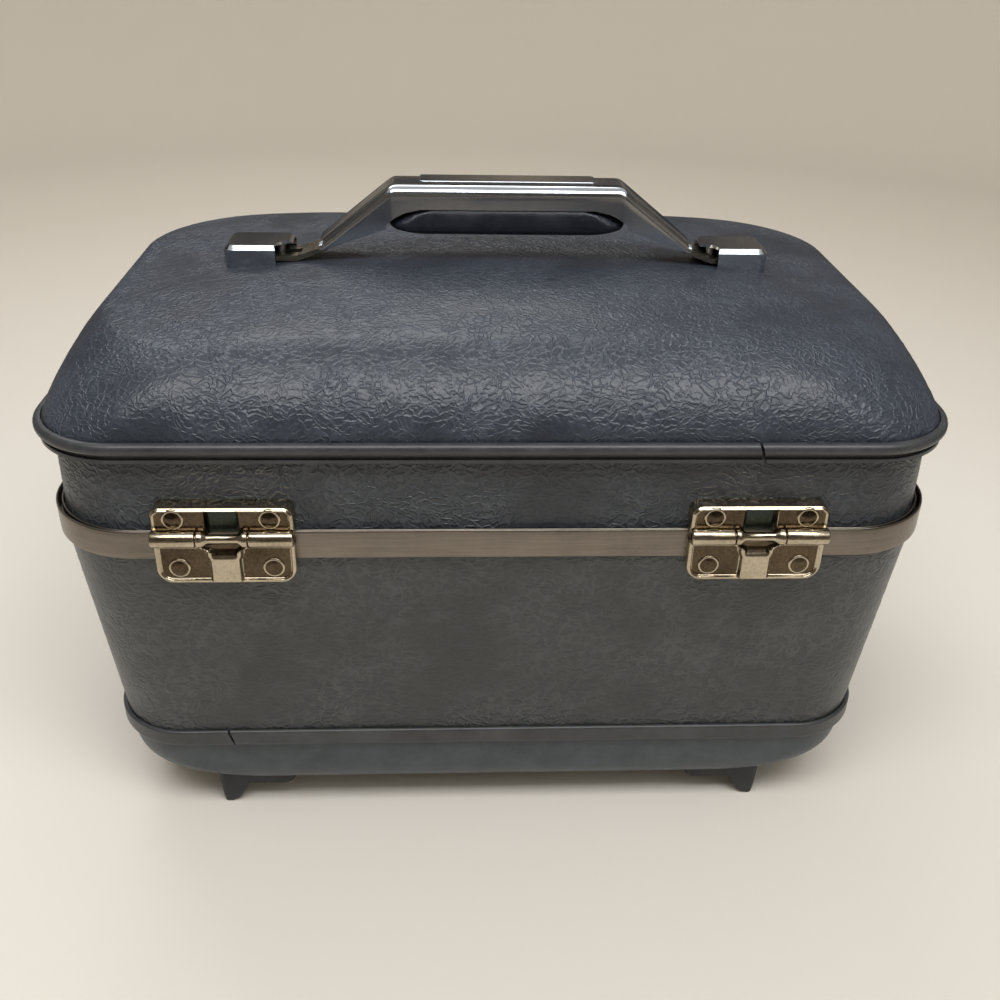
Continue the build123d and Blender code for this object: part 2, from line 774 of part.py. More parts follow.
def handle_strap():
    high = [(x, z + strap_thickness) for x, z in reversed(strap_line)]
    half = make_face(Polyline(*strap_line, *high, close=True))
    bar = extrude(Plane.XZ * half, amount=strap_width / 2, both=True)
    reach = handle_travel / 2 + stud_radius + stud_play
    rest_z = strap_line[-1][1]
    bar -= box((stud_x - reach, -strap_slot_width / 2, rest_z - 9),
               (stud_x + reach, strap_slot_width / 2, rest_z + 9))
    bar -= post(grip_rivet_x, 0, core_low_z, handle_top_z, grip_rivet_radius)
    return bar + mirror(bar, about=Plane.YZ)


def handle_rivet(x):
    top = strap_line[0][1] + strap_thickness
    head_radius, head_height = grip_rivet_head
    shank = post(x, 0, grip_rivet_low_z, top, grip_rivet_radius)
    return shank + post(x, 0, top, top + head_height, head_radius)


def grip_core():
    core = slab(core_size, core_low_z, strap_line[0][1] - core_low_z, 3)
    for side in (-1, 1):
        core -= post(side * grip_rivet_x, 0, grip_rivet_low_z, handle_top_z, grip_rivet_radius)
    return core


def grip_pad():
    # crowned below, pulled in at both ends, with a pocket for the core above
    pad = loft([Pos(0, 0, z) * RectangleRounded(2 * half, depth, radius)
                for z, half, depth, radius in grip_sections], ruled=True)
    return pad - slab(core_size, core_low_z, strap_line[0][1] - core_low_z, 3)


def bracket(crown):
    # drawn for the +X end; the mouth faces the middle of the lid
    size = (bracket_outer - bracket_inner, bracket_depth)
    block = slab(size, bracket_low_z, bracket_top_z - bracket_low_z, bracket_corner,
                 (bracket_inner + bracket_outer) / 2)
    block = chamfer(block.edges().group_by(Axis.Z)[-1], bracket_bevel)
    ceiling = bracket_top_z - bracket_hood
    inside_y = bracket_depth / 2 - bracket_wall
    cavity = box((bracket_inner - 2, -inside_y, bracket_low_z - 1),
                 (bracket_outer - bracket_end_wall, inside_y, ceiling))
    near_wall = box((bracket_inner - 2, inside_y - 1, bracket_low_z - 1),
                    (bracket_side_wall_start, bracket_depth, ceiling))
    bite = post(*bite_middle, bracket_low_z - 1, bracket_top_z + 1, bite_radius)
    stud_hole = post(stud_x, 0, bracket_low_z, bracket_top_z - stud_cover, stud_radius)
    return biggest(block - cavity - near_wall - bite - crown - stud_hole)


def bracket_stud(x):
    # holds the bracket down to its backing plate and stops the strap in its slot
    shank = post(x, 0, backing_z, bracket_top_z - stud_cover, stud_radius)
    return shank + post(x, 0, backing_z - stud_tail_height, backing_z, stud_tail_radius)


def bracket_backing():
    plate = slab(backing_size, backing_z, backing_sheet, 3, backing_x)
    return plate - post(stud_x, 0, backing_z - 1, backing_z + far, stud_radius)


# Inside

def tray_rest():
    wall = wall_half_at(tray_low_z) - wall_thickness - lining_gap - lining_sheet
    ledge = box((wall - rest_width, -rest_half_length, tray_low_z - rest_height),
                (wall + 0.2, rest_half_length, tray_low_z))
    return ledge - body_lining()


def tray():
    height = tray_high_z - tray_low_z
    foot_face = outline(tray_half - tray_taper, tray_radius - 2, tray_low_z, tray_half_y - tray_taper)
    solid = loft([foot_face, outline(tray_half, tray_radius, tray_high_z, tray_half_y)], ruled=True)
    for x, y, length, depth in tray_cells:
        solid -= slab((length, depth), tray_low_z + tray_sheet, height, tray_cell_radius, x, y)
    for side in (-1, 1):
        notch = Pos(side * tray_half, 0, tray_high_z) * Rot(0, 90, 0)
        solid -= notch * Cylinder(tray_finger_radius, far)
    return solid


# Assembly

def drill(solid, places, z, radius, side):
    for x in places:
        solid -= hole_y(x, z, radius, side)
    return solid


def hinge_rivet_places():
    return [side * hinge_x + hinge_shift + step for side in (-1, 1)
            for step in (-rivet_spacing / 2, rivet_spacing / 2)]


def body_pieces():
    places = hinge_rivet_places()
    wall = drill(body_wall(), places, lower_rivet_z, rivet_shank_radius, 1)
    screw_places = [(sx * foot_screw_x, sy * foot_screw_y) for sx in (-1, 1) for sy in (-1, 1)]
    pan = base_pan()
    for x, y in screw_places:
        pan -= post(x, y, 0, pan_bottom_z + far, foot_screw_radius)
    rear_right = foot(pan_solid(0))
    rest = tray_rest()
    return {
        "body_wall": drill(wall, (-lock_rivet_x, lock_rivet_x), lock_rivet_z, lock_rivet_radius, -1),
        "base_pan": pan,
        "lower_welt": lower_welt(),
        "body_rail": drill(body_rail(), places, lower_rivet_z, rivet_shank_radius, 1),
        "body_lining": body_lining(),
        "foot_rear_right": rear_right,
        "foot_rear_left": mirror(rear_right, about=Plane.YZ),
        "foot_front_right": mirror(rear_right, about=Plane.XZ),
        "foot_front_left": Rot(0, 0, 180) * rear_right,
        "foot_screws": Compound([foot_screw(x, y) for x, y in screw_places]),
        "tray_rest_right": rest,
        "tray_rest_left": mirror(rest, about=Plane.YZ),
        "tray": tray(),
    }


def lid_pieces(crown_outside):
    wall = drill(lid_wall(), hinge_rivet_places(), upper_rivet_z, rivet_shank_radius, 1)
    glass_low = mirror_low_z + mirror_ledge
    return {
        "lid_wall": drill(wall, (-mount_rivet_x, mount_rivet_x), mount_rivet_z, mount_rivet_radius, -1),
        "lid_crown": lid_crown(crown_outside),
        "upper_welt": upper_welt(),
        "lid_rail": lid_rail(),
        "lid_lining": lid_lining(),
        "mirror_frame": mirror_frame(),
        "mirror_glass": mirror_sheet(glass_low, mirror_glass_sheet),
        "mirror_backing": mirror_sheet(glass_low + mirror_glass_sheet, mirror_card_sheet),
    }


def hinge_pieces():
    pieces = {}
    pin = rod_x(hinge_width / 2, hinge_axis_y, hinge_axis_z, hinge_pin_radius)
    for name, side in (("left", -1), ("right", 1)):
        place = Pos(side * hinge_x + hinge_shift, 0, 0)
        back = Pos(-side * hinge_x - hinge_shift, 0, 0)
        lower = lower_leaf([back * wall_solid(0), back * rail_envelope()])
        pieces["lower_hinge_leaf_" + name] = place * lower
        pieces["upper_hinge_leaf_" + name] = place * upper_leaf([back * lid_wall_solid(0)])
        pieces["hinge_pin_" + name] = place * pin
    places = hinge_rivet_places()
    body_inner_y = wall_half_at(lower_rivet_z - rivet_tail_radius) - half_gap - wall_thickness
    lid_inner_y = lid_wall_foot_half - half_gap - lid_wall_thickness - 0.5
    pieces["body_hinge_rivets"] = hinge_rivets(places, lower_rivet_z, body_inner_y)
    pieces["lid_hinge_rivets"] = hinge_rivets(places, upper_rivet_z, lid_inner_y)
    return pieces


def latch_pieces():
    return {
        "lock_case": lock_case([wall_solid(0), rail_envelope()]),
        "lock_rivets": Compound([lock_rivet(x) for x in (-lock_rivet_x, lock_rivet_x)]),
        "latch_bolt": latch_bolt(),
        "latch_button": latch_button(),
        "hasp": hasp(),
        "hasp_mount": hasp_mount([lid_wall_solid(0)]),
        "hasp_pin": rod_x(hasp_half_width, hasp_axis_y, hasp_axis_z, hasp_pin_radius),
        "hasp_rivets": Compound([hasp_rivet(x) for x in (-mount_rivet_x, mount_rivet_x)]),
    }


def bracket_pieces(crown_outside):
    place = Pos(bracket_shift, 0, 0)
    # the crown is moved the other way, so that both brackets are cut to where they stand
    right = bracket(Pos(-bracket_shift, 0, 0) * crown_outside)
    left = bracket(Pos(bracket_shift, 0, 0) * crown_outside)
    backing = bracket_backing()
    return {
        "bracket_right": place * right,
        "bracket_left": place * mirror(left, about=Plane.YZ),
        "bracket_studs": place * Compound([bracket_stud(side * stud_x) for side in (-1, 1)]),
        "bracket_backing_right": place * backing,
        "bracket_backing_left": place * mirror(backing, about=Plane.YZ),
    }


def handle_pieces():
    pieces = {
        "handle_cover": handle_cover(),
        "handle_top_plate": handle_top_plate(),
        "handle_strap": handle_strap(),
        "handle_rivets": Compound([handle_rivet(side * grip_rivet_x) for side in (-1, 1)]),
        "grip_core": grip_core(),
        "grip_pad": grip_pad(),
    }
    return {name: Pos(handle_shift, 0, 0) * shape for name, shape in pieces.items()}


def build():
    crown_outside = crown_solid(0)
    return {**body_pieces(), **lid_pieces(crown_outside), **hinge_pieces(), **latch_pieces(),
            **bracket_pieces(crown_outside), **handle_pieces()}


os.makedirs("parts", exist_ok=True)
for name, shape in build().items():
    export_step(shape, "parts/" + name + ".step")
    print(name, round(shape.volume, 1))
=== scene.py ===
import math

import bpy
import numpy as np
from mathutils import Matrix, Vector, noise


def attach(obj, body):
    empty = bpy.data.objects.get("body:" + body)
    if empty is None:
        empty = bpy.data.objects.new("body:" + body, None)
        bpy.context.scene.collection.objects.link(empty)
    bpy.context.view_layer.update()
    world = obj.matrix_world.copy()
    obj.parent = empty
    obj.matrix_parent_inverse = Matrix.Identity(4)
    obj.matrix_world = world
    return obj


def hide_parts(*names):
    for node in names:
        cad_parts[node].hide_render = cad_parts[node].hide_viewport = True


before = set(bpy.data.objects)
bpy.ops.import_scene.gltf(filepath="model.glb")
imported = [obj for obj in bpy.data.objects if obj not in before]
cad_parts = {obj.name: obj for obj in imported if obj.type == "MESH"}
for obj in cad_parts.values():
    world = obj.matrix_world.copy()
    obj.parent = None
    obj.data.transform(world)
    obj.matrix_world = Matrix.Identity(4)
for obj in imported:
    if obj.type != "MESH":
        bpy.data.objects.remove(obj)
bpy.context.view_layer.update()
print("frame loaded:", len(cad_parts), "nodes")

# The pieces' dictionaries are in millimetres, and meshPiece turns them into metres.
# The finishes and the studio are in metres.
halfGap = 57.5  # the case is this much less deep than long, counted from the middle
wallCounts = (170, 100, 30)  # points on a long side, a short side and a corner


def meshPiece(name, points, faces, body, sharp=180):
    mesh = bpy.data.meshes.new(name)
    mesh.from_pydata((np.asarray(points, float) * 0.001).tolist(), [], faces)
    mesh.validate()
    mesh.shade_smooth()
    if sharp < 180:
        mesh.set_sharp_from_angle(angle=math.radians(sharp))
    piece = bpy.data.objects.new(name, mesh)
    bpy.context.scene.collection.objects.link(piece)
    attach(piece, body)
    return piece


def outlineRing(halfX, halfY, radius, z, counts):
    # points round a rounded rectangle; each side and corner always gets the same number
    sideX, sideY, corner = counts
    a, b = halfX - radius, halfY - radius
    middles = np.array([(a, b), (-a, b), (-a, -b), (a, -b)])
    spots = []
    for turn, middle in enumerate(middles):
        angles = np.radians(90 * turn + 90 * np.arange(corner + 1) / corner)
        arc = radius * np.stack([np.cos(angles), np.sin(angles)], 1)
        spots.append(middle + arc[:-1])
        start, stop = middle + arc[-1], middles[(turn + 1) % 4] + arc[-1]
        steps = sideX if turn % 2 == 0 else sideY
        share = (np.arange(steps) / steps)[:, None]
        spots.append(start + share * (stop - start))
    flat = np.concatenate(spots)
    return np.column_stack([flat, np.full(len(flat), z)])


def caseRing(half, radius, z):
    return outlineRing(half, half - halfGap, radius, z, wallCounts)


def ringFaces(rows, columns, closed=False):
    faces = []
    for row in range(rows if closed else rows - 1):
        low, high = row * columns, ((row + 1) % rows) * columns
        for column in range(columns):
            after = (column + 1) % columns
            faces.append((low + column, low + after, high + after, high + column))
    return faces


def fanFaces(start, columns, middle):
    return [(start + column, start + (column + 1) % columns, middle) for column in range(columns)]


def turnedOver(faces):
    return [face[::-1] for face in faces]


def runLengths(*lines):
    # distance from the first point, along a line given by its coordinates
    steps = np.sqrt(sum(np.diff(line) ** 2 for line in lines))
    return np.concatenate([[0], np.cumsum(steps)])


def surfaceNormals(rings):
    along = np.roll(rings, -1, 1) - np.roll(rings, 1, 1)
    up = np.gradient(rings, axis=0)
    normals = np.cross(along, up)
    length = np.linalg.norm(normals, axis=2, keepdims=True)
    return normals / np.maximum(length, 1e-9)


def smoothStep(low, high, value):
    share = np.clip((value - low) / (high - low), 0, 1)
    return share * share * (3 - 2 * share)


def noiseField(rings, scale, stretch, seed, kind="ridged"):
    # one value for each point of a surface, from Blender's own noise
    values = np.empty(rings.shape[:2])
    shift = Vector((seed * 13.7, seed * 5.1, seed * 9.3))
    for row in range(rings.shape[0]):
        for column in range(rings.shape[1]):
            p = rings[row, column]
            spot = Vector((p[0] * stretch[0], p[1] * stretch[1], p[2] * stretch[2])) * scale + shift
            if kind == "ridged":
                spot += noise.noise_vector(spot * 0.6) * 0.9
                values[row, column] = 1 - abs(noise.noise(spot)) * 2.6
            else:
                values[row, column] = noise.noise(spot)
    return values


def addNode(tree, kind, values=None, **settings):
    node = tree.nodes.new("ShaderNode" + kind)
    for key, value in settings.items():
        setattr(node, key, value)
    for key, value in (values or {}).items():
        if isinstance(value, bpy.types.NodeSocket):
            tree.links.new(value, node.inputs[key])
        else:
            node.inputs[key].default_value = value
    return node


def newMaterial(name, **values):
    material = bpy.data.materials.new(name)
    material.use_nodes = True
    tree = material.node_tree
    shader = tree.nodes["Principled BSDF"]
    for key, value in values.items():
        shader.inputs[key].default_value = value
    return material, tree, shader


def colour(red, green, blue):
    # an sRGB colour from 0 to 255, as Blender wants it
    shares = [c / 255 for c in (red, green, blue)]
    return (*[((c + 0.055) / 1.055) ** 2.4 if c > 0.04 else c / 12.92 for c in shares], 1)


def ramp(tree, factor, *stops):
    node = addNode(tree, "ValToRGB", {"Fac": factor})
    points = node.color_ramp.elements
    while len(points) < len(stops):
        points.new(0.5)
    for point, (place, tint) in zip(points, stops):
        point.position = place
        point.color = colour(*tint)
    return node.outputs["Color"]


def maths(tree, operation, first, second):
    return addNode(tree, "Math", {0: first, 1: second}, operation=operation).outputs[0]


def vectorMaths(tree, operation, first, second):
    return addNode(tree, "VectorMath", {0: first, 1: second}, operation=operation).outputs[0]


def sumOf(tree, *pairs):
    # weighted sum of sockets
    parts = [maths(tree, "MULTIPLY", socket, weight) for socket, weight in pairs]
    total = parts[0]
    for part in parts[1:]:
        total = maths(tree, "ADD", total, part)
    return total


def noiseAt(tree, vector, scale, detail, roughness=0.5, output="Fac", **settings):
    values = {"Vector": vector, "Scale": scale, "Detail": detail, "Roughness": roughness}
    return addNode(tree, "TexNoise", values, **settings).outputs[output]


def cellEdges(tree, vector, scale):
    values = {"Vector": vector, "Scale": scale}
    return addNode(tree, "TexVoronoi", values, feature="DISTANCE_TO_EDGE").outputs["Distance"]


def mapped(tree, value, source, target=(0.0, 1.0), **settings):
    values = {"Value": value, "From Min": source[0], "From Max": source[1]}
    values.update({"To Min": target[0], "To Max": target[1]})
    return addNode(tree, "MapRange", values, **settings).outputs["Result"]


def finishSurface(tree, shader, tint, rough, height=None, depth=0.0):
    tree.links.new(tint, shader.inputs["Base Color"])
    tree.links.new(rough, shader.inputs["Roughness"])
    if height is not None:
        bump = addNode(tree, "Bump", {"Height": height, "Distance": depth, "Strength": 1.0})
        tree.links.new(bump.outputs["Normal"], shader.inputs["Normal"])


hideLook = {
    "crown": {"dark": (37, 42, 50), "pale": (62, 69, 80), "depth": 0.00050, "veins": 380.0, "creasePaleness": 0.30},
    "lidWall": {"dark": (38, 41, 46), "pale": (66, 70, 75), "depth": 0.00074, "veins": 330.0, "creasePaleness": 0.40},
    "bodyWall": {"dark": (42, 45, 47), "pale": (70, 73, 75), "depth": 0.00060, "veins": 300.0, "creasePaleness": 0.40},
}
hideGrain = {"wander": 70.0, "push": 0.016, "stretch": (0.72, 1.0, 1.0), "veinWidth": 0.22, "folds": 120.0,
             "pebble": 1100.0, "patches": 26.0, "bare": (0.36, 0.60), "leastCrease": 0.25,
             "roughness": (0.28, 0.42)}


def hideVinyl(name):
    # pressed hide grain: a network of raised creases, pebbled between them
    look, g = hideLook[name], hideGrain
    material, tree, shader = newMaterial(name + "Vinyl")
    place = addNode(tree, "TexCoord").outputs["Object"]
    wander = noiseAt(tree, place, g["wander"], 3.0, output="Color")
    centred = vectorMaths(tree, "SUBTRACT", wander, (0.5, 0.5, 0.5))
    pushed = addNode(tree, "VectorMath", {0: centred, "Scale": g["push"]}, operation="SCALE").outputs[0]
    warped = vectorMaths(tree, "ADD", vectorMaths(tree, "MULTIPLY", place, g["stretch"]), pushed)
    cells = cellEdges(tree, warped, look["veins"])
    veins = mapped(tree, cells, (0.0, g["veinWidth"]), (1.0, 0.0), interpolation_type="SMOOTHSTEP")
    folds = noiseAt(tree, warped, g["folds"], 4.0, 0.6, noise_type="RIDGED_MULTIFRACTAL")
    pebble = noiseAt(tree, place, g["pebble"], 3.0)
    patches = noiseAt(tree, place, g["patches"], 2.0)
    crease = maths(tree, "MULTIPLY", veins, mapped(tree, patches, g["bare"], (g["leastCrease"], 1.0)))
    # the raised creases are drawn paler than the grain between them
    tone = sumOf(tree, (patches, 0.9), (folds, 0.35), (pebble, 0.2), (crease, look["creasePaleness"]))
    tint = ramp(tree, tone, (0.30, look["dark"]), (1.0, look["pale"]))
    rough = mapped(tree, sumOf(tree, (pebble, 0.6), (patches, 0.4)), (0.3, 0.7), g["roughness"])
    height = sumOf(tree, (crease, 0.5), (folds, 0.35), (pebble, 0.22))
    finishSurface(tree, shader, tint, rough, height, look["depth"])
    return material


plasticLook = {  # dark tone, pale tone, roughness, scale of the clouds, depth of the grain
    "weltPlastic": ((46, 47, 49), (66, 68, 70), (0.30, 0.44), 60.0, 0.00008),
    "footPlastic": ((22, 23, 25), (36, 37, 40), (0.42, 0.60), 240.0, 0.00012),
    "panVinyl": ((50, 57, 63), (70, 78, 84), (0.34, 0.46), 80.0, 0.00012),
    "trimPlastic": ((176, 178, 176), (204, 206, 203), (0.30, 0.42), 90.0, 0.00006),
    "trayPlastic": ((120, 134, 150), (142, 156, 170), (0.28, 0.42), 110.0, 0.00008),
    "mirrorCard": ((120, 116, 108), (150, 146, 136), (0.7, 0.9), 200.0, 0.00010),
}


def mouldedPlastic(name):
    dark, pale, roughness, scale, depth = plasticLook[name]
    material, tree, shader = newMaterial(name)
    place = addNode(tree, "TexCoord").outputs["Object"]
    cloud = noiseAt(tree, place, scale, 4.0)
    grain = noiseAt(tree, place, 1600.0, 2.0)
    scuffs = noiseAt(tree, place, scale * 4, 8.0, 0.7)
    tint = ramp(tree, sumOf(tree, (cloud, 0.6), (scuffs, 0.4)), (0.32, dark), (0.68, pale))
    rough = mapped(tree, scuffs, (0.35, 0.65), roughness)
    finishSurface(tree, shader, tint, rough, sumOf(tree, (grain, 0.6), (scuffs, 0.6)), depth)
    return material


metalLook = {  # dark tone, pale tone, roughness, stretch of the streaks, depth of the streaks
    "chrome": ((196, 202, 208), (214, 220, 226), (0.05, 0.14), (6.0, 1.0, 1.0), 0.000012),
    "hingeNickel": ((156, 144, 122), (206, 194, 172), (0.12, 0.26), (1.0, 1.0, 1.0), 0.00003),
    # the next two hinge finishes are painted light: a dark brown painted reflection for sunk faces, and
    # painted shade for the deep channel
    "hingePaintedDarkReflection": ((58, 48, 38), (104, 90, 72), (0.12, 0.26), (1.0, 1.0, 1.0), 0.00004),
    "hingeWellPaintedShade": ((46, 52, 48), (74, 80, 74), (0.26, 0.40), (1.0, 1.0, 1.0), 0.00004),
    "railSteel": ((112, 104, 96), (140, 132, 122), (0.26, 0.40), (0.04, 0.04, 1.6), 0.00003),
    "strapSteel": ((130, 122, 108), (170, 162, 146), (0.22, 0.36), (0.2, 1.0, 1.0), 0.00003),
    "innerSteel": ((120, 120, 122), (150, 150, 152), (0.34, 0.5), (1.0, 1.0, 1.0), 0.00003),
}


def wornMetal(name):
    dark, pale, roughness, streak, depth = metalLook[name]
    material, tree, shader = newMaterial(name, Metallic=1.0)
    place = addNode(tree, "TexCoord").outputs["Object"]
    streaks = noiseAt(tree, vectorMaths(tree, "MULTIPLY", place, streak), 900.0, 6.0, 0.65)
    haze = noiseAt(tree, place, 45.0, 5.0, 0.6)
    tone = sumOf(tree, (streaks, 0.5), (haze, 0.5))
    tint = ramp(tree, tone, (0.35, dark), (0.62, pale))
    finishSurface(tree, shader, tint, mapped(tree, tone, (0.38, 0.62), roughness), streaks, depth)
    return material


def silverGlass():
    # the mirror's silver, with a little dust on it
    material, tree, shader = newMaterial("mirror", Metallic=1.0)
    place = addNode(tree, "TexCoord").outputs["Object"]
    dust = noiseAt(tree, place, 300.0, 6.0, 0.7)
    tint = ramp(tree, dust, (0.4, (222, 226, 228)), (0.7, (206, 212, 214)))
    finishSurface(tree, shader, tint, mapped(tree, dust, (0.4, 0.75), (0.015, 0.10)))
    return material


def satinCloth():
    # woven satin of the quilted lining
    material, tree, shader = newMaterial("lining")
    shader.inputs["Sheen Weight"].default_value = 0.35
    shader.inputs["Sheen Roughness"].default_value = 0.4
    place = addNode(tree, "TexCoord").outputs["Object"]
    thread = {"Vector": place, "Scale": 420.0, "Distortion": 1.2, "Detail": 2.0, "Detail Scale": 3.0}
    warp = addNode(tree, "TexWave", thread, bands_direction="X").outputs["Fac"]
    weft = addNode(tree, "TexWave", thread, bands_direction="Z").outputs["Fac"]
    soil = noiseAt(tree, place, 22.0, 5.0)
    weave = sumOf(tree, (warp, 0.5), (weft, 0.5))
    tone = sumOf(tree, (weave, 0.25), (soil, 0.8))
    tint = ramp(tree, tone, (0.28, (112, 124, 142)), (0.75, (148, 160, 176)))
    finishSurface(tree, shader, tint, mapped(tree, weave, (0.0, 1.0), (0.48, 0.66)), weave, 0.00012)
    return material


def gripVinyl():
    material, tree, shader = newMaterial("gripVinyl")
    place = addNode(tree, "TexCoord").outputs["Object"]
    grain = cellEdges(tree, place, 900.0)
    cloud = noiseAt(tree, place, 120.0, 5.0)
    tint = ramp(tree, sumOf(tree, (cloud, 0.8), (grain, 0.3)), (0.3, (20, 24, 32)), (0.7, (34, 40, 52)))
    rough = mapped(tree, cloud, (0.35, 0.65), (0.30, 0.44))
    finishSurface(tree, shader, tint, rough, sumOf(tree, (grain, 0.5), (cloud, 0.6)), 0.00018)
    return material


finishes = {name: mouldedPlastic(name) for name in plasticLook}
finishes.update({name: wornMetal(name) for name in metalLook})
finishes.update({name: hideVinyl(name) for name in hideLook})
finishes.update({"mirror": silverGlass(), "lining": satinCloth(), "gripVinyl": gripVinyl()})
print("finishes made:", len(finishes))


def paint(piece, finish):
    piece.data.materials.clear()
    piece.data.materials.append(finishes[finish])


hideFolds = {"broad": 0.20, "fine": 0.38, "patches": 0.03, "stretch": (0.5, 1.0, 1.0), "level": 0.25,
             "leastPatch": 0.15, "wallSunk": 0.12, "calmEdge": 6.0}


def hideHeights(rings, strength, seed):
    # folds of the pressed hide that are deep enough to need real geometry
    f = hideFolds
    broad = noiseField(rings, f["broad"], f["stretch"], seed)
    fine = noiseField(rings, f["fine"], f["stretch"], seed + 3)
    patch = noiseField(rings, f["patches"], (1.0, 1.0, 1.0), seed + 7, kind="plain") * 0.8 + 0.6
    shape = np.clip(broad, 0, 1) ** 3 * 0.4 + np.clip(fine, 0, 1) ** 3 * 0.6
    return (shape - f["level"]) * np.clip(patch, f["leastPatch"], 1) * strength


crownShape = {"footZ": 189.0, "topZ": 225.8, "half": 171.5, "base": 190.9, "rise": 24.5, "bulge": 10.4,
              "shoulderX": 15.1, "shoulderY": 30.7, "roundnessX": 1.27, "roundnessY": 1.73,
              "cornerLow": 32.4, "cornerHigh": 57.4, "cornerZ": 217.7, "rows": 104, "counts": (200, 116, 60),
              # the grain fades out up to one height and in from another, each over a distance
              "grain": 0.30, "smoothTop": 0.10, "fadeTop": (223.5, 12.0), "fadeFoot": (190.4, 5.0)}


def crownHeight(distance, half, shoulder, power):
    c = crownShape
    depth = np.clip((half - distance) / shoulder, 0, 1)
    rise = (1 - (1 - depth) ** power) ** (1 / power)
    return c["base"] + c["rise"] * rise + c["bulge"] * (1 - (distance / half) ** 2)


def crownReach(z, half, shoulder, power):
    # how far out the crown still stands as high as z
    near, far = 0.0, half
    for _ in range(40):
        middle = (near + far) / 2
        if crownHeight(middle, half, shoulder, power) > z:
            near = middle
        else:
            far = middle
    return near


def crownRings():
    # even steps along the profile over the deep side, then one outline for each height
    c = crownShape
    half, deep = c["half"], c["half"] - halfGap
    y = np.linspace(deep, 0.8, 4000)
    z = np.array([crownHeight(v, deep, c["shoulderY"], c["roundnessY"]) for v in y])
    length = runLengths(y, z)
    heights = [c["footZ"], c["footZ"] + 1.0]
    heights += list(np.interp(np.linspace(0, length[-1], c["rows"]), length, z))
    rings = []
    for height in heights:
        level = max(height, c["base"])
        halfX = crownReach(level, half, c["shoulderX"], c["roundnessX"])
        halfY = crownReach(level, deep, c["shoulderY"], c["roundnessY"])
        share = min((level - c["base"]) / (c["cornerZ"] - c["base"]), 1)
        radius = min(c["cornerLow"] + share * (c["cornerHigh"] - c["cornerLow"]), 0.95 * halfY)
        rings.append(outlineRing(halfX, halfY, radius, height, c["counts"]))
    return np.array(rings)


def makeCrown():
    c = crownShape
    rings = crownRings()
    z = rings[:, :, 2]
    (high, highFade), (low, lowFade) = c["fadeTop"], c["fadeFoot"]
    calm = np.clip((high - z) / highFade, c["smoothTop"], 1.0) * np.clip((z - low) / lowFade, 0, 1)
    rings = rings + surfaceNormals(rings) * (hideHeights(rings, c["grain"], 1) * calm)[..., None]
    rows, columns = rings.shape[:2]
    points = rings.reshape(-1, 3).tolist() + [[0, 0, c["topZ"]]]
    faces = ringFaces(rows, columns) + fanFaces((rows - 1) * columns, columns, len(points) - 1)
    piece = meshPiece("lidCrown", points, faces, "lid")
    paint(piece, "crown")
    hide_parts("lid_crown")
    return piece


wallShape = {  # low and high are height, half length and corner radius
    "lidWall": {"low": (151.1, 170.4, 35.0), "high": (187.4, 169.6, 34.0), "thickness": 3.6, "rows": 24,
                "grain": 0.42, "seed": 11},
    "bodyWall": {"low": (45.2, 162.3, 30.0), "high": (148.8, 172.1, 36.0), "thickness": 3.5, "rows": 62,
                 "grain": 0.26, "seed": 21},
}


def makeWall(name, body, node):
    shape = wallShape[name]
    low, high, thickness = shape["low"], shape["high"], shape["thickness"]
    rings = []
    for share in np.linspace(0, 1, shape["rows"]):
        z, half, radius = [a + share * (b - a) for a, b in zip(low, high)]
        rings.append(caseRing(half, radius, z))
    rings = np.array(rings)
    edge = np.minimum(rings[:, :, 2] - low[0], high[0] - rings[:, :, 2])
    calm = np.clip(edge / min(hideFolds["calmEdge"], (high[0] - low[0]) / 4), 0, 1)
    heights = (hideHeights(rings, shape["grain"], shape["seed"]) - hideFolds["wallSunk"]) * calm
    outer = rings + surfaceNormals(rings) * heights[..., None]
    inner = np.array([caseRing(half - thickness, radius - thickness, z) for z, half, radius in (high, low)])
    rings = np.concatenate([outer, inner])
    rows, columns = rings.shape[:2]
    piece = meshPiece(name, rings.reshape(-1, 3), ringFaces(rows, columns, closed=True), body, sharp=50)
    paint(piece, name)
    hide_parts(node)
    return piece


makeCrown()
makeWall("lidWall", "lid", "lid_wall")
makeWall("bodyWall", "body", "body_wall")
print("hide-covered shells made")


panShape = {"half": 161.6, "top": 42.8, "bottom": 13.6, "sheet": 3.0, "roll": 20.0, "roundness": 4.0,
            "radius": 30.0, "growth": 46.0, "rows": 44, "crowding": 1.8, "floorSteps": (12, 26, 44),
            "floorCorner": 1.1}


def panRing(share, inset=0.0):
    p = panShape
    turned = share ** p["roundness"]
    half = p["half"] - p["roll"] * (1 - (1 - turned) ** (1 / p["roundness"])) - inset
    z = p["top"] - share * (p["top"] - p["bottom"] - inset)
    return caseRing(half, p["radius"] + p["growth"] * turned - inset, z)


def makePan():
    # rolled under at its foot, closed below and hollow above
    p = panShape
    shares = 1 - (1 - np.linspace(0, 1, p["rows"])) ** p["crowding"]
    inner = [panRing(share, p["sheet"]) for share in shares[::-1]]
    outer = [panRing(share) for share in shares]
    low, corner = p["half"] - p["roll"], p["radius"] + p["growth"]
    floor = [caseRing(low - step, corner - p["floorCorner"] * step, p["bottom"]) for step in p["floorSteps"]]
    rings = np.array(inner + outer + floor)
    rows, columns = rings.shape[:2]
    points = rings.reshape(-1, 3).tolist()
    points += [[0, 0, p["bottom"]], [0, 0, p["bottom"] + p["sheet"]]]
    faces = turnedOver(ringFaces(rows, columns))
    faces += turnedOver(fanFaces((rows - 1) * columns, columns, len(points) - 2))
    faces += fanFaces(0, columns, len(points) - 1)
    piece = meshPiece("basePan", points, faces, "body", sharp=50)
    paint(piece, "panVinyl")
    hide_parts("base_pan")
    return piece


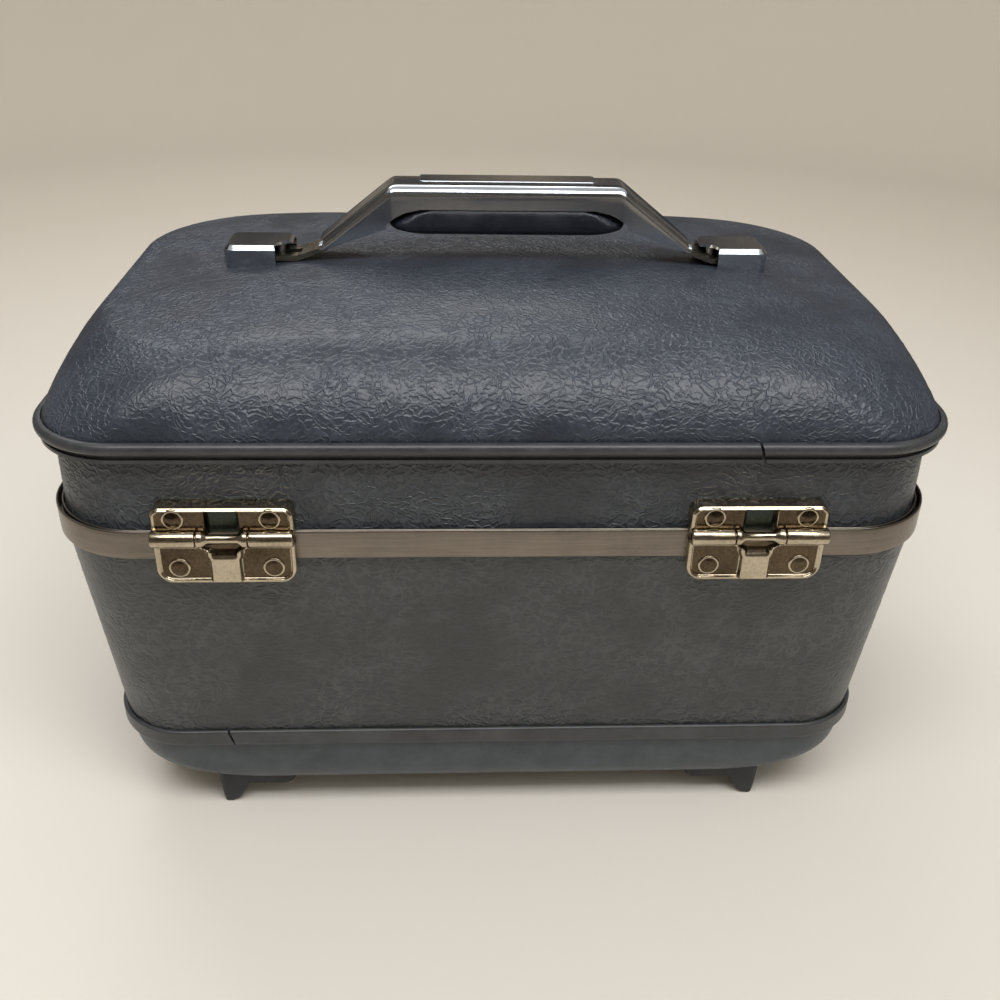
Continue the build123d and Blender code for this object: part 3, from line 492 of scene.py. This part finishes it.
railShape = {  # the profile is distance out from half and height
    "bodyRail": {"half": 173.4, "radius": 37.0, "profile": (
        (-1.0, 143.3), (-0.7, 142.8), (-0.35, 142.7), (-0.08, 142.95), (0.0, 143.4), (0.0, 146.0),
        (0.0, 151.0), (0.0, 154.0), (-0.08, 154.45), (-0.35, 154.7), (-0.7, 154.6), (-0.98, 154.2),
        (-1.0, 150.4), (-1.3, 149.8), (-6.5, 149.8), (-6.5, 145.6), (-5.5, 145.6), (-5.5, 148.8),
        (-1.0, 148.8))},
    "lidRail": {"half": 171.7, "radius": 36.3, "profile": (
        (0.0, 150.1), (0.0, 153.7), (-0.1, 154.05), (-0.4, 154.2), (-0.8, 154.1), (-1.0, 153.8),
        (-1.0, 151.1), (-5.1, 151.1), (-5.1, 157.4), (-6.1, 157.4), (-6.1, 150.1))},
}


def makeRail(name, body, node):
    shape = railShape[name]
    half, radius = shape["half"], shape["radius"]
    rings = np.array([caseRing(half + out, radius + out, z) for out, z in shape["profile"]])
    rows, columns = rings.shape[:2]
    piece = meshPiece(name, rings.reshape(-1, 3), ringFaces(rows, columns, closed=True), body, sharp=60)
    paint(piece, "railSteel")
    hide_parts(node)
    return piece


makePan()
makeRail("bodyRail", "body", "body_rail")
makeRail("lidRail", "lid", "lid_rail")
print("pan and rails made")


gripShape = {"centre": -6.0, "rows": 46, "counts": (70, 20, 16), "pleat": 0.55, "sections": (
    # height, half length, depth, corner radius
    (235.4, 33.0, 12.0, 5.9), (235.9, 40.5, 16.5, 7.0), (236.9, 45.5, 21.0, 8.0), (238.2, 49.2, 24.2, 9.0),
    (239.9, 50.2, 25.0, 9.0), (241.2, 49.6, 25.0, 9.0), (243.4, 46.4, 24.6, 9.0), (245.4, 42.6, 23.6, 8.0),
    (246.8, 36.2, 22.0, 6.0))}


def gripRings():
    g = gripShape
    sections = np.array(g["sections"])
    length = runLengths(sections[:, 0], sections[:, 2] / 2)
    fine = np.linspace(0, length[-1], g["rows"])
    lines = [np.interp(fine, length, sections[:, k]) for k in range(4)]
    for line in lines:
        for _ in range(3):
            line[1:-1] = np.convolve(line, (0.25, 0.5, 0.25), mode="valid")
    return np.array([outlineRing(half, depth / 2, min(radius, depth / 2 - 0.1), z, g["counts"])
                     for z, half, depth, radius in zip(*lines)])


def makeGrip():
    # a soft pad with blunt ends, gathered where it is pulled up into the cover
    g = gripShape
    rings = gripRings()
    x, z = rings[:, :, 0], rings[:, :, 2]
    gathered = np.clip((z - 240.0) / 4.0, 0, 1) * np.clip((np.abs(x) - 24.0) / 16.0, 0, 1)
    wave = np.sin(x * 3.4 + 2.2 * np.sin(x * 0.9)) * np.sin(z * 0.5)
    rings = rings + surfaceNormals(rings) * (g["pleat"] * gathered * (wave - 0.9) * 0.5)[..., None]
    rings[:, :, 0] += g["centre"]
    rows, columns = rings.shape[:2]
    faces = ringFaces(rows, columns)
    faces.append(list(range(columns))[::-1])
    faces.append(list(range((rows - 1) * columns, rows * columns)))
    piece = meshPiece("gripPad", rings.reshape(-1, 3), faces, "handle", sharp=55)
    paint(piece, "gripVinyl")
    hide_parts("grip_pad", "grip_core")
    return piece


makeGrip()
print("grip pad made")


coverShape = {"centre": -6.0, "topZ": 256.4, "topHalf": 48.6, "endHalf": 79.5, "endTopZ": 232.3,
              "depth": 11.5, "endDepth": 9.7, "sheet": 1.5, "crest": 4.2, "bend": 0.7, "stations": 420,
              "lowerEdge": ((0.0, 247.0), (36.5, 247.0), (43.0, 245.6), (47.0, 243.6), (50.6, 241.0),
                            (51.0, 238.8), (78.0, 229.0), (80.0, 228.9))}


def coverSection(x, inset):
    # near side wall, rounded crest, top, rounded crest and far side wall
    c = coverShape
    away = abs(x)
    slope = (c["topZ"] - c["endTopZ"]) / (c["endHalf"] - c["topHalf"])
    top = c["topZ"] - slope * c["bend"] * np.logaddexp(0, (away - c["topHalf"]) / c["bend"]) - inset
    low = np.interp(away, *zip(*c["lowerEdge"]))
    half = np.interp(away, (c["topHalf"], c["endHalf"]), (c["depth"], c["endDepth"])) - inset
    crest = min(c["crest"] - inset, top - low - 0.3)
    flatHalf, wallTop = half - crest, top - crest
    near = [(half, z) for z in np.linspace(low, wallTop, 5)[:-1]]
    near += [(flatHalf + crest * math.cos(t), wallTop + crest * math.sin(t))
             for t in np.radians(np.linspace(0, 90, 10))]
    flat = [(y, top) for y in np.linspace(flatHalf, -flatHalf, 6)[1:-1]]
    path = near + flat + [(-y, z) for y, z in reversed(near)]
    return [(x + c["centre"], y, z) for y, z in path]


def makeCover():
    # pressed sheet, open below and at the ends of its arms
    c = coverShape
    spots = np.linspace(-c["endHalf"], c["endHalf"], c["stations"])
    rings = np.array([coverSection(x, 0.0) + coverSection(x, c["sheet"])[::-1] for x in spots])
    rows, columns = rings.shape[:2]
    faces = ringFaces(rows, columns)
    strip = [(i, i + 1, columns - 2 - i, columns - 1 - i) for i in range(columns // 2 - 1)]
    faces += turnedOver(strip)
    faces += [tuple((rows - 1) * columns + i for i in face) for face in strip]
    piece = meshPiece("handleCover", rings.reshape(-1, 3), faces, "handle", sharp=40)
    paint(piece, "chrome")
    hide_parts("handle_cover")
    return piece


makeCover()
print("handle cover made")


liningShape = {  # stations are height, distance in from the shell and corner radius
    "bodyLining": {"stations": ((143.5, 5.0, 29.0), (45.2, 4.8, 27.0), (31.0, 6.6, 33.0),
                                (21.8, 12.0, 38.0), (18.6, 20.3, 40.0)),
                   "taper": (162.3, 45.2, 172.1, 148.8), "puff": 1.0, "pitch": 26.0, "cloth": 1.3},
    "lidLining": {"stations": ((158.4, 5.2, 29.0), (188.0, 6.4, 30.0), (203.0, 11.5, 43.0),
                               (210.0, 18.5, 50.0), (213.8, 27.0, 54.0)),
                  "taper": (170.4, 0, 170.4, 1), "puff": 0.9, "pitch": 26.0, "cloth": 1.3},
}


def liningRings(shape):
    s = np.array(shape["stations"])
    length = runLengths(s[:, 0], s[:, 1])
    lowHalf, lowZ, highHalf, highZ = shape["taper"]
    rings = []
    for v in np.linspace(0, length[-1], 60):
        z, roll, radius = [np.interp(v, length, s[:, k]) for k in range(3)]
        half = np.interp(z, (lowZ, highZ), (lowHalf, highHalf)) - roll - shape["cloth"]
        radius -= shape["cloth"]
        rings.append(caseRing(half, radius, z))
    for inset in np.linspace(4, 96, 40):
        rings.append(caseRing(half - inset, max(radius * (1 - inset / 100), 2), z))
    return np.array(rings)


def makeLining(name, body, node):
    # quilted cloth over a thin sheet: puffed diamonds between the stitch lines
    shape = liningShape[name]
    rings = liningRings(shape)
    around = runLengths(*rings[0].T)
    turns = round(around[-1] / shape["pitch"] / 2) * 2
    u = (around / around[-1] * turns * math.pi)[None, :]
    v = (runLengths(*rings[:, 0].T) / shape["pitch"] * math.pi)[:, None]
    quilt = np.abs(np.sin((u + v) / 2) * np.sin((u - v) / 2)) ** 0.45
    normals = surfaceNormals(rings)
    outward = np.sign(np.sum(normals * (rings - np.array([0, 0, 120.0])), axis=2))
    rings = rings - normals * (outward * quilt * shape["puff"])[..., None]
    rows, columns = rings.shape[:2]
    points = rings.reshape(-1, 3).tolist() + [[0, 0, float(rings[-1, :, 2].mean())]]
    faces = ringFaces(rows, columns) + fanFaces((rows - 1) * columns, columns, len(points) - 1)
    if name == "lidLining":
        faces = turnedOver(faces)  # the cloth faces down into the lid
    piece = meshPiece(name, points, faces, body)
    paint(piece, "lining")
    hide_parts(node)
    return piece


makeLining("bodyLining", "body", "body_lining")
makeLining("lidLining", "lid", "lid_lining")
print("linings made")


hingeShape = {"places": {"Left": -97.5, "Right": 102.1}, "half": 26.0, "front": 120.0, "axis": (121.0, 154.7),
              "knuckle": 3.25, "lowerZ": (134.4, 151.05), "upperZ": (155.0, 166.6), "lowerCorner": 6.0,
              "upperCorner": 4.0, "lowerBack": 109.0, "upperBack": 111.9, "columns": 150, "rows": 56,
              "lowerRound": 0.7, "lowerPanel": 1.15, "upperRound": 1.1, "upperPanel": 0.45,
              "neckHalf": 5.3, "neckRise": 1.2, "neckHollow": 1.9, "channelHalf": 5.2, "channel": 3.0}


def leafGrid(low, high, corner, roundLow):
    # x, z and distance to the outline for a plate with two rounded corners
    h = hingeShape
    share = np.linspace(0, 1, h["rows"])
    z = low + (high - low) * (share ** 1.5 if roundLow else 1 - (1 - share) ** 1.5)
    fromEnd = z - low if roundLow else high - z
    short = corner - np.sqrt(np.maximum(corner ** 2 - np.maximum(corner - fromEnd, 0) ** 2, 0))
    x = np.outer(h["half"] - short, np.linspace(-1, 1, h["columns"]))
    z = np.repeat(z[:, None], h["columns"], 1)
    fromEnd = z - low if roundLow else high - z
    pastX, pastZ = np.abs(x) - (h["half"] - corner), corner - fromEnd
    straight = np.minimum(h["half"] - np.abs(x), fromEnd)
    edge = np.where((pastX > 0) & (pastZ > 0), corner - np.hypot(pastX, pastZ), straight)
    return x, z, np.maximum(edge, 0)


def pressedPlate(name, x, y, z, back, body, paintedShadeIndex):
    # front face from a grid, then a flank from its outline back to the shell
    rows, columns = x.shape
    front = np.stack([x, y, z], 2).reshape(-1, 3)
    index = np.arange(rows * columns).reshape(rows, columns)
    faces = [(index[r, c], index[r, c + 1], index[r + 1, c + 1], index[r + 1, c])
             for r in range(rows - 1) for c in range(columns - 1)]
    border = [*index[0, :], *index[1:, -1], *index[-1, -2::-1], *index[-2:0:-1, 0]]
    behind = front[border].copy()
    behind[:, 1] = back
    start, count = len(front), len(border)
    for i in range(count):
        after = (i + 1) % count
        faces.append((border[i], start + i, start + after, border[after]))
    faces = turnedOver([tuple(int(v) for v in face) for face in faces])
    piece = meshPiece(name, np.concatenate([front, behind]), faces, body, sharp=55)
    paint(piece, "hingeNickel")
    for finish in ("hingePaintedDarkReflection", "hingeWellPaintedShade"):
        piece.data.materials.append(finishes[finish])
    # each face takes bright nickel, the painted dark reflection or the painted shade from this index
    tone = np.concatenate([paintedShadeIndex.reshape(-1), np.zeros(count)])
    for polygon in piece.data.polygons:
        polygon.material_index = int(round(np.mean([tone[v] for v in polygon.vertices])))
    return piece


def makeLowerLeaf(side, shift):
    # rolled rim round a sunk panel, with a raised neck that opens out towards the knuckle
    h = hingeShape
    low, high = h["lowerZ"]
    x, z, edge = leafGrid(low, high, h["lowerCorner"], True)
    rim = np.minimum(edge, high - z + 0.35)
    y = h["front"] - h["lowerRound"] * (1 - smoothStep(0, 0.7, edge))
    y = y - h["lowerPanel"] * smoothStep(1.25, 1.9, rim)
    neckHalf = h["neckHalf"] + 0.9 * smoothStep(144.5, 147.5, z) + 3.1 * smoothStep(148.6, 151.05, z)
    inside = neckHalf - np.abs(x)
    hollow = h["neckHollow"] * smoothStep(145.6, 149.5, z) * smoothStep(0.2, 1.6, inside - 0.9)
    neck = h["front"] + h["neckRise"] - hollow
    y = np.where(z > low + 1.2, y + (neck - y) * smoothStep(-0.9, 0.5, inside), y)
    # painted dark reflection on the sunk panel beside the neck and in the upper hollow of the neck; the rim
    # and neck stay bright nickel
    paintedShadeIndex = np.where((rim > 1.75) & (inside < -0.7), 1, 0)
    paintedShadeIndex = np.where((z > 146.8) & (inside > 1.2), 1, paintedShadeIndex)
    piece = pressedPlate("lowerHingeLeaf" + side, x + shift, y, z, h["lowerBack"], "body", paintedShadeIndex)
    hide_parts("lower_hinge_leaf_" + side.lower())


def makeUpperLeaf(side, shift):
    # rounded flange round a sunk panel, with a deep channel in its middle
    h = hingeShape
    low, high = h["upperZ"]
    x, z, edge = leafGrid(low, high, h["upperCorner"], False)
    y = h["front"] - h["upperRound"] * (1 - smoothStep(0, 1.1, edge))
    y = y - h["upperPanel"] * smoothStep(1.2, 1.7, edge)
    channel = smoothStep(-1.3, 0.2, h["channelHalf"] - np.abs(x)) * smoothStep(0.9, 2.0, high - z)
    y = y - h["channel"] * channel
    # painted dark reflection on the sunk panel, painted shade at the bottom of the channel, and a painted
    # highlight of bright nickel on the channel wall on the negative-x side only
    paintedShadeIndex = np.where(edge > 1.6, 1, 0)
    paintedShadeIndex = np.where((channel > 0.96) & (edge > 1.6), 2, paintedShadeIndex)
    paintedShadeIndex = np.where((channel > 0.08) & (channel < 0.8) & (x < 0), 0, paintedShadeIndex)
    piece = pressedPlate("upperHingeLeaf" + side, x + shift, y, z, h["upperBack"], "lid", paintedShadeIndex)
    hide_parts("upper_hinge_leaf_" + side.lower())


def turnedPiece(name, profile, centre, axis, body, around=40):
    # (distance along the axis, radius) pairs turned round X or Y
    rings = []
    for along, radius in profile:
        angles = np.linspace(0, 2 * math.pi, around, endpoint=False)
        a, b = radius * np.cos(angles), radius * np.sin(angles)
        line = np.full(around, along)
        rings.append(np.stack((line, a, b) if axis == "X" else (a, line, b), 1) + np.array(centre))
    rows = len(rings)
    faces = ringFaces(rows, around)
    faces.append(tuple(range(around))[::-1])
    faces.append(tuple(range((rows - 1) * around, rows * around)))
    faces = faces if axis == "X" else turnedOver(faces)
    piece = meshPiece(name, np.concatenate(rings), faces, body, sharp=50)
    paint(piece, "hingeNickel")
    return piece


def makeKnuckles(side, shift):
    # two rolled knuckles on the lid, and a waisted one between them on the body;
    # the pairs are distance along the pin and radius
    h = hingeShape
    r = h["knuckle"]
    centre = (shift, *h["axis"])
    outer = [(9.75, 1.6), (9.75, r - 0.35), (9.9, r - 0.1), (10.2, r), (25.4, r), (25.75, r - 0.12),
             (25.95, r - 0.45), (26.0, 1.6)]
    inner = [(-along, radius) for along, radius in reversed(outer)]
    turnedPiece("hingeRoll" + side + "In", inner, centre, "X", "lid")
    turnedPiece("hingeRoll" + side + "Out", outer, centre, "X", "lid")
    middle = [(-9.3, 1.6), (-9.3, r - 0.3), (-9.1, r - 0.05), (-8.8, r), (-7.6, r), (-7.0, r - 0.3),
              (-5.9, 2.2), (-5.2, 1.75), (0, 1.7)]
    middle += [(-along, radius) for along, radius in reversed(middle[:-1])]
    turnedPiece("hingeRoll" + side + "Mid", middle, centre, "X", "body")


rivetShape = {  # the head is distance out from the seat and radius; the dome is a share of its rise
    "head": ((-0.6, 4.2), (0.0, 4.2), (0.28, 4.12), (0.5, 3.9), (0.62, 3.55), (0.5, 3.3), (0.52, 3.1)),
    "dome": ((0.4, 2.4), (0.8, 1.2), (1.0, 0.05)), "domeFoot": 0.55, "darkReflectionRadius": 3.25, "spread": 17.5,
    "lowerRivet": {"z": 140.8, "seat": 118.85, "rise": 0.35, "body": "body", "node": "body_hinge_rivets"},
    "upperRivet": {"z": 162.1, "seat": 119.55, "rise": 0.65, "body": "lid", "node": "lid_hinge_rivets"},
}


def makeRivets(name):
    s, own = rivetShape, rivetShape[name]
    head = list(s["head"]) + [(s["domeFoot"] + share * own["rise"], radius) for share, radius in s["dome"]]
    profile = [(own["seat"] + out, radius) for out, radius in head]
    spots = [shift + turn * s["spread"] for shift in hingeShape["places"].values() for turn in (-1, 1)]
    for number, x in enumerate(spots, 1):
        piece = turnedPiece(name + str(number), profile, (x, 0, own["z"]), "Y", own["body"], 48)
        # the middle of each head gets the painted dark reflection; the ring round it stays bright nickel
        piece.data.materials.append(finishes["hingePaintedDarkReflection"])
        for polygon in piece.data.polygons:
            middle = polygon.center * 1000
            away = math.hypot(middle.x - x, middle.z - own["z"])
            polygon.material_index = 1 if away < s["darkReflectionRadius"] else 0
        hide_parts(own["node"])


for side, shift in hingeShape["places"].items():
    makeLowerLeaf(side, shift)
    makeUpperLeaf(side, shift)
    makeKnuckles(side, shift)
makeRivets("lowerRivet")
makeRivets("upperRivet")
print("hinges made")


keptNodes = {
    "weltPlastic": ("lower_welt", "upper_welt"),
    "footPlastic": ("foot_rear_left", "foot_rear_right", "foot_front_left", "foot_front_right"),
    "innerSteel": ("foot_screws", "lock_rivets", "hasp_rivets", "hasp_pin", "bracket_studs",
                   "bracket_backing_left", "bracket_backing_right", "latch_bolt"),
    "trimPlastic": ("tray_rest_left", "tray_rest_right", "mirror_frame"),
    "trayPlastic": ("tray",),
    "mirror": ("mirror_glass",),
    "mirrorCard": ("mirror_backing",),
    "hingeNickel": ("hinge_pin_left", "hinge_pin_right"),
    "chrome": ("bracket_left", "bracket_right", "handle_top_plate", "handle_rivets", "lock_case",
               "latch_button", "hasp", "hasp_mount"),
    "strapSteel": ("handle_strap",),
}
for finish, names in keptNodes.items():
    for name in names:
        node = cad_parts[name]
        for place in node.material_slots:
            place.material = finishes[finish]
print("CAD nodes finished")


# the last three entries are a painted reflection: dim streaky colours that glossy rays see on the floor from
# a distance out
bowlShape = {"flat": 1.3, "curve": 0.5, "top": 1.8, "around": 96, "drop": 0.0002,
             "near": (222, 217, 208), "far": (212, 204, 190), "edge": (0.34, 1.0),
             "reflectionDark": (44, 47, 56), "reflectionPale": (190, 176, 158), "reflectionFrom": (0.50, 0.78)}


def floorPaper():
    # pale paper; further out, glossy rays see a painted reflection on it instead, dim and streaky
    b = bowlShape
    material, tree, shader = newMaterial("floorPaper", Roughness=0.55)
    place = addNode(tree, "TexCoord").outputs["Object"]
    mottle = noiseAt(tree, place, 3.0, 4.0)
    away = addNode(tree, "VectorMath", {0: place}, operation="LENGTH").outputs["Value"]
    tone = sumOf(tree, (mapped(tree, away, b["edge"]), 0.9), (mottle, 0.1))
    paper = ramp(tree, tone, (0.0, b["near"]), (1.0, b["far"]))
    streaks = noiseAt(tree, vectorMaths(tree, "MULTIPLY", place, (1.0, 1.0, 6.0)), 2.2, 3.0)
    paintedRoomReflection = ramp(tree, streaks, (0.46, b["reflectionDark"]), (0.66, b["reflectionPale"]))
    # painted reflection: further out, glossy rays get the streaky colours in place of the paper
    glossy = addNode(tree, "LightPath").outputs["Is Glossy Ray"]
    paintedReflectionShare = maths(tree, "MULTIPLY", mapped(tree, away, b["reflectionFrom"]), glossy)
    mix = addNode(tree, "Mix", {0: paintedReflectionShare, 6: paper, 7: paintedRoomReflection}, data_type="RGBA")
    tree.links.new(mix.outputs[2], shader.inputs["Base Color"])
    return material


def makeBowl():
    # the floor runs level and then curves up all round, with the case and the camera inside it
    b = bowlShape
    flat, curve, top = b["flat"], b["curve"], b["top"]
    profile = [(0.0001, 0), (0.3, 0), (0.6, 0), (0.9, 0), (flat, 0)]
    for angle in np.radians(range(10, 91, 10)):
        profile.append((flat + curve * math.sin(angle), curve - curve * math.cos(angle)))
    profile += [(flat + curve, 1.2), (flat + curve, top)]
    turns = np.linspace(0, 2 * math.pi, b["around"], endpoint=False)
    points = [(r * math.cos(t), r * math.sin(t), z - b["drop"]) for r, z in profile for t in turns]
    mesh = bpy.data.meshes.new("studioFloor")
    mesh.from_pydata(points, [], ringFaces(len(profile), b["around"]))
    mesh.shade_smooth()
    bowl = bpy.data.objects.new("studioFloor", mesh)
    bpy.context.scene.collection.objects.link(bowl)
    bowl.data.materials.append(floorPaper())


skyLook = {"strength": 0.72, "low": (96, 92, 88), "middle": (168, 164, 160), "high": (226, 226, 226)}


def makeSky():
    # brighter overhead, dimmer low down on the side of the hinges
    s = skyLook
    world = bpy.data.worlds.new("studioLight")
    bpy.context.scene.world = world
    world.use_nodes = True
    tree = world.node_tree
    backdrop = tree.nodes["Background"]
    split = addNode(tree, "SeparateXYZ", {0: addNode(tree, "TexCoord").outputs["Generated"]})
    tint = ramp(tree, split.outputs["Z"], (0.0, s["low"]), (0.35, s["middle"]), (0.75, s["high"]))
    side = mapped(tree, split.outputs["Y"], (-0.2, 0.7), (1.0, 0.32))
    overhead = mapped(tree, split.outputs["Z"], (0.45, 0.85))
    level = maths(tree, "MAXIMUM", side, overhead)
    tree.links.new(tint, backdrop.inputs["Color"])
    tree.links.new(maths(tree, "MULTIPLY", level, s["strength"]), backdrop.inputs["Strength"])


lamps = {  # place, what it points at, size and power
    "keyLight": ((0.0, 0.62, 1.35), (0, 0, 0.15), (1.5, 0.5), 15.0),
    "fillLight": ((-0.9, 1.2, 1.5), (0, 0, 0.1), (0.9, 0.9), 4.0),
    "backLight": ((0.3, -0.95, 1.3), (0, 0, 0.12), (1.2, 0.6), 7.0),
}


def makeLamps():
    for name, (place, aim, size, power) in lamps.items():
        lamp = bpy.data.lights.new(name, "AREA")
        lamp.shape = "RECTANGLE"
        lamp.size, lamp.size_y = size
        lamp.energy = power
        holder = bpy.data.objects.new(name, lamp)
        holder.location = place
        holder.rotation_euler = (Vector(aim) - Vector(place)).to_track_quat("-Z", "Y").to_euler()
        bpy.context.scene.collection.objects.link(holder)


viewpoint = {"position": (0.01884, 0.46108, 0.36559), "forward": (-0.04679, -0.86676, -0.49652),
             "right": (-0.99855, 0.05390, 0.0), "up": (-0.02676, -0.49580, 0.86802), "roll": 1.36,
             "lens": 38.84}


def makeCamera():
    lens = bpy.data.cameras.new("viewCamera")
    lens.sensor_width = 36
    lens.lens = viewpoint["lens"]
    lens.clip_start = 0.01
    camera = bpy.data.objects.new("viewCamera", lens)
    roll = math.radians(viewpoint["roll"])
    right, up = Vector(viewpoint["right"]), Vector(viewpoint["up"])
    turnedRight = right * math.cos(roll) + up * math.sin(roll)
    turnedUp = up * math.cos(roll) - right * math.sin(roll)
    axes = Matrix((turnedRight, turnedUp, -Vector(viewpoint["forward"]))).transposed()
    camera.matrix_world = Matrix.Translation(viewpoint["position"]) @ axes.to_4x4()
    bpy.context.scene.collection.objects.link(camera)
    bpy.context.scene.camera = camera


makeBowl()
makeSky()
makeLamps()
makeCamera()
bpy.context.scene.view_settings.view_transform = "Standard"
print("studio ready")
